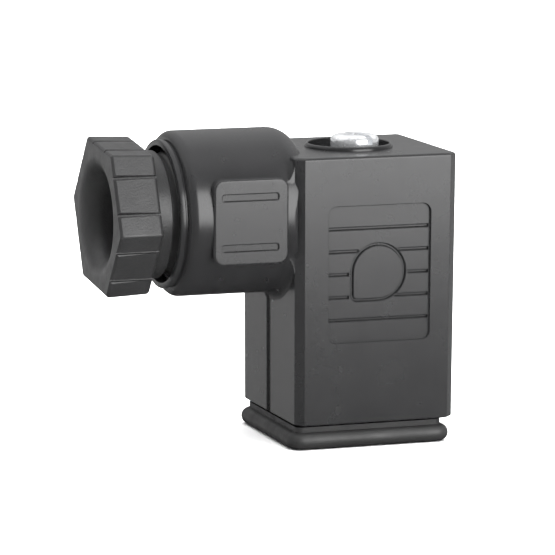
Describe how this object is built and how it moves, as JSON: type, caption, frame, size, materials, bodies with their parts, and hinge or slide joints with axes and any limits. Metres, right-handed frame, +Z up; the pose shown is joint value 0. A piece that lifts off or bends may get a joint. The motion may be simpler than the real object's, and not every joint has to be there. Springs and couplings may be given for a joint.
{
  "type": "solenoid valve connector plug",
  "caption": "Angled cable plug for a solenoid valve coil: black box with ribbed front panel, side cable barrel with hexagon gland screw, long fixing screw and flat sealing gasket.",
  "frame": {"origin": "Tip of the fixing screw, on the screw axis, in the plane of the gasket's underside, which meets the coil.", "axes": "+Z up out of the coil face along the fixing screw; -X towards the cable gland; -Y towards the ribbed front panel."},
  "size_m": [0.0332, 0.016, 0.0297],
  "materials": {
    "black_nylon": "satin moulded glass-filled nylon, dark grey-black",
    "black_gland_nylon": "coarser satin moulded nylon of the gland screw",
    "black_rubber": "matte black nitrile rubber",
    "grey_block_nylon": "dark grey moulded insulator",
    "zinc_steel": "bright zinc-plated steel",
    "brass": "tinned brass strip"
  },
  "bodies": {
    "root": {"housing": "black_nylon", "base_gasket": "black_rubber", "gland_seal": "black_rubber", "screw_seal": "black_rubber"},
    "gland_washer": {"gland_washer": "zinc_steel"},
    "gland_screw": {"gland_screw": "black_gland_nylon"},
    "screw_washers": {"screw_washer": "zinc_steel", "screw_retainer": "black_rubber"},
    "fixing_screw": {"fixing_screw": "zinc_steel"},
    "contact_insert": {"contact_block": "grey_block_nylon", "contact_1": "brass", "contact_2": "brass", "contact_3": "brass", "contact_earth": "brass"},
    "wire_clamp_1": {"wire_clamp_1": "zinc_steel"},
    "terminal_screw_1": {"terminal_screw_1": "zinc_steel"},
    "wire_clamp_2": {"wire_clamp_2": "zinc_steel"},
    "terminal_screw_2": {"terminal_screw_2": "zinc_steel"},
    "wire_clamp_3": {"wire_clamp_3": "zinc_steel"},
    "terminal_screw_3": {"terminal_screw_3": "zinc_steel"},
    "wire_clamp_earth": {"wire_clamp_earth": "zinc_steel"},
    "terminal_screw_earth": {"terminal_screw_earth": "zinc_steel"}
  },
  "joints": [
    {"name": "gland_travel", "type": "slide", "parent": "root", "child": "gland_washer", "axis": [-1, 0, 0], "range_m": [-0.00127, 0.00381]},
    {"name": "gland_turn", "type": "hinge", "parent": "gland_washer", "child": "gland_screw", "pos_m": [-0.0204, 0, 0.0219], "axis": [-1, 0, 0], "range_deg": [-361, 1081]},
    {"name": "screw_lift", "type": "slide", "parent": "root", "child": "screw_washers", "axis": [0, 0, 1], "range_m": [-0.0023, 0.0025]},
    {"name": "screw_turn", "type": "hinge", "parent": "screw_washers", "child": "fixing_screw", "pos_m": [0, 0, 0.02], "axis": [0, 0, 1], "continuous": true},
    {"name": "insert_slide", "type": "slide", "parent": "root", "child": "contact_insert", "axis": [0, 0, -1], "range_m": [0, 0.018]},
    {"name": "wire_clamp_1_lift", "type": "slide", "parent": "contact_insert", "child": "wire_clamp_1", "axis": [0, 0, 1], "range_m": [-0.0004, 0.0008]},
    {"name": "terminal_screw_1_turn", "type": "hinge", "parent": "wire_clamp_1", "child": "terminal_screw_1", "pos_m": [0, 0.0037, 0.0138], "axis": [0, 0, 1], "range_deg": [-361, 721]},
    {"name": "wire_clamp_2_lift", "type": "slide", "parent": "contact_insert", "child": "wire_clamp_2", "axis": [0, 0, 1], "range_m": [-0.0004, 0.0008]},
    {"name": "terminal_screw_2_turn", "type": "hinge", "parent": "wire_clamp_2", "child": "terminal_screw_2", "pos_m": [0, -0.0037, 0.0138], "axis": [0, 0, 1], "range_deg": [-361, 721]},
    {"name": "wire_clamp_3_lift", "type": "slide", "parent": "contact_insert", "child": "wire_clamp_3", "axis": [0, 0, 1], "range_m": [-0.0004, 0.0008]},
    {"name": "terminal_screw_3_turn", "type": "hinge", "parent": "wire_clamp_3", "child": "terminal_screw_3", "pos_m": [-0.0037, 0, 0.0138], "axis": [0, 0, 1], "range_deg": [-361, 721]},
    {"name": "wire_clamp_earth_lift", "type": "slide", "parent": "contact_insert", "child": "wire_clamp_earth", "axis": [0, 0, 1], "range_m": [-0.0004, 0.0008]},
    {"name": "terminal_screw_earth_turn", "type": "hinge", "parent": "wire_clamp_earth", "child": "terminal_screw_earth", "pos_m": [0.0037, 0, 0.0138], "axis": [0, 0, 1], "range_deg": [-361, 721]}
  ],
  "couplings": [
    {"joint": "gland_turn", "follows": "gland_travel", "rad_per_m": 4947.4},
    {"joint": "terminal_screw_1_turn", "follows": "wire_clamp_1_lift", "rad_per_m": 15708},
    {"joint": "terminal_screw_2_turn", "follows": "wire_clamp_2_lift", "rad_per_m": 15708},
    {"joint": "terminal_screw_3_turn", "follows": "wire_clamp_3_lift", "rad_per_m": 15708},
    {"joint": "terminal_screw_earth_turn", "follows": "wire_clamp_earth_lift", "rad_per_m": 15708}
  ]
}
